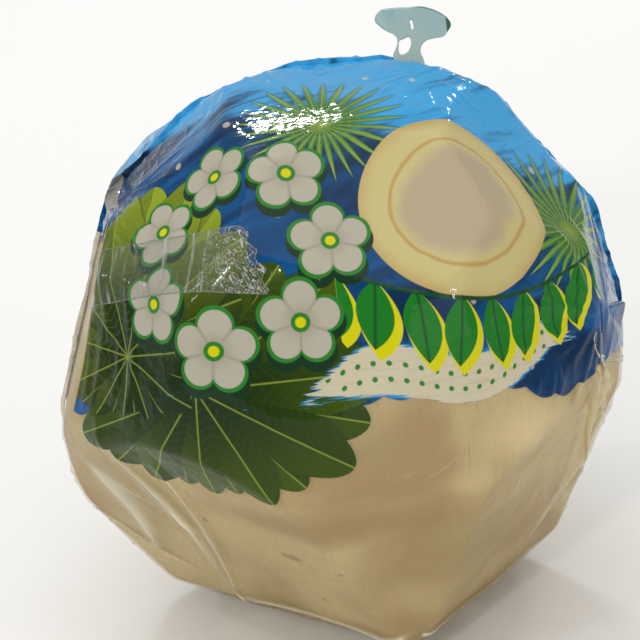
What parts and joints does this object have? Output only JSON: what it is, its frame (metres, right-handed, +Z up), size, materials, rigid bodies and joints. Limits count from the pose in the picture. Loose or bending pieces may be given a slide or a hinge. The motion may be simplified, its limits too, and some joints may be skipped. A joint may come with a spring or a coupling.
{
  "type": "wrapped young coconut",
  "caption": "Young coconut trimmed to its white husk with a flat base, sealed in a printed clear shrink-film bag with a strip of clear tape.",
  "frame": {"origin": "middle of the flat base, on the surface that it rests on", "axes": "+Z up out of the base, -Y towards the widest part of the print, +X to the right of someone who looks at the print"},
  "size_m": [0.13, 0.125, 0.1281],
  "materials": {
    "husk": "moist, fibrous, knife-trimmed cream husk",
    "print_film": "thin glossy shrink film, printed above and clear below",
    "clear_tape": "clear adhesive tape with a frosted, crinkled end"
  },
  "bodies": {
    "root": {"coconut": "husk", "film_wrap": "print_film", "clear_tape": "clear_tape"}
  },
  "joints": []
}
